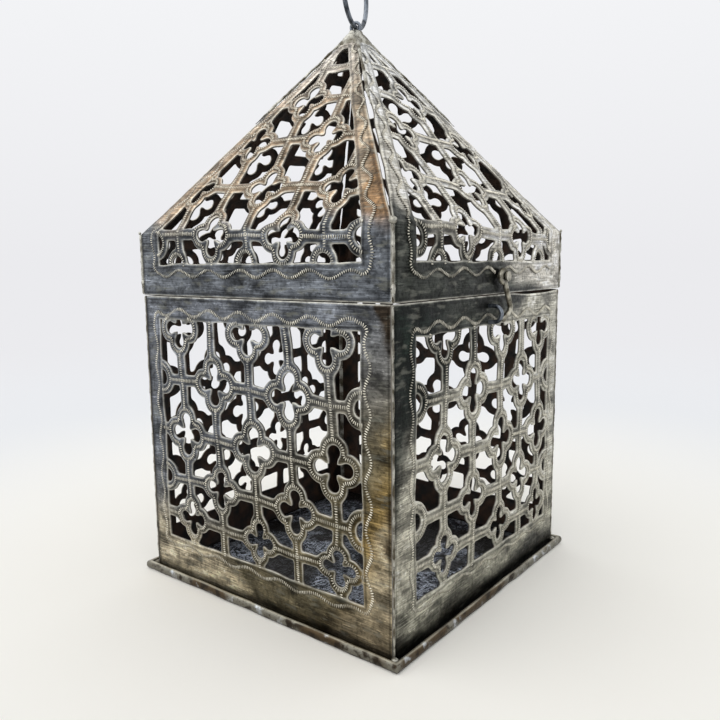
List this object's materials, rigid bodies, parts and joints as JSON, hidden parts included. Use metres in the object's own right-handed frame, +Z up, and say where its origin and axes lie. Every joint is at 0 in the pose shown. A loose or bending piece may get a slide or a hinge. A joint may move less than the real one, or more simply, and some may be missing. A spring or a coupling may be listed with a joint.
{
  "type": "pierced metal lantern",
  "caption": "Square pierced sheet-metal candle lantern with a hinged pyramid roof, wire hook latch and hanging ring.",
  "frame": {"origin": "centre of the underside of the base tray, on the resting plane", "axes": "+Z up, -Y the front with the hook latch, +Y the back with the hinges, +X the right-hand side seen from the front"},
  "size_m": [0.1608, 0.1638, 0.3051],
  "materials": {
    "body_sheet": "tarnished satin",
    "lid_sheet": "tarnished satin",
    "base_sheet": "galvanised",
    "solder": "dull solder",
    "wire": "worn zinc",
    "hinge_metal": "worn satin"
  },
  "bodies": {
    "body": {"base_tray": "base_sheet", "front_panel": "body_sheet", "back_panel": "body_sheet", "left_panel": "body_sheet", "right_panel": "body_sheet", "body_seam_front_left": "solder", "body_seam_front_right": "solder", "body_seam_back_right": "solder", "body_seam_back_left": "solder", "hinge_body_leaf_left": "hinge_metal", "hinge_body_leaf_right": "hinge_metal", "hinge_pin_left": "hinge_metal", "hinge_pin_right": "hinge_metal", "latch_staple": "wire"},
    "lid": {"lid_front": "lid_sheet", "lid_back": "lid_sheet", "lid_left": "lid_sheet", "lid_right": "lid_sheet", "lid_seam_front_left": "solder", "lid_seam_front_right": "solder", "lid_seam_back_right": "solder", "lid_seam_back_left": "solder", "ridge_seam_front_left": "solder", "ridge_seam_front_right": "solder", "ridge_seam_back_right": "solder", "ridge_seam_back_left": "solder", "apex_cap": "solder", "apex_eye": "wire", "hook_rivet": "wire", "hinge_lid_leaf_left": "hinge_metal", "hinge_lid_leaf_right": "hinge_metal"},
    "ring": {"hanging_ring": "wire"},
    "hook": {"latch_hook": "wire"}
  },
  "joints": [
    {"name": "lid_hinge", "type": "hinge", "parent": "body", "child": "lid", "pos_m": [0, 0.0787, 0.14285], "axis": [-1, 0, 0], "range_deg": [0, 165]},
    {"name": "ring_swing", "type": "hinge", "parent": "lid", "child": "ring", "pos_m": [0, 0, 0.272], "axis": [0.9511, 0.309, 0], "range_deg": [-120, 120]},
    {"name": "hook_swing", "type": "hinge", "parent": "lid", "child": "hook", "pos_m": [0.006, -0.07895, 0.1511], "axis": [0, -1, 0], "range_deg": [-28, 100]}
  ]
}
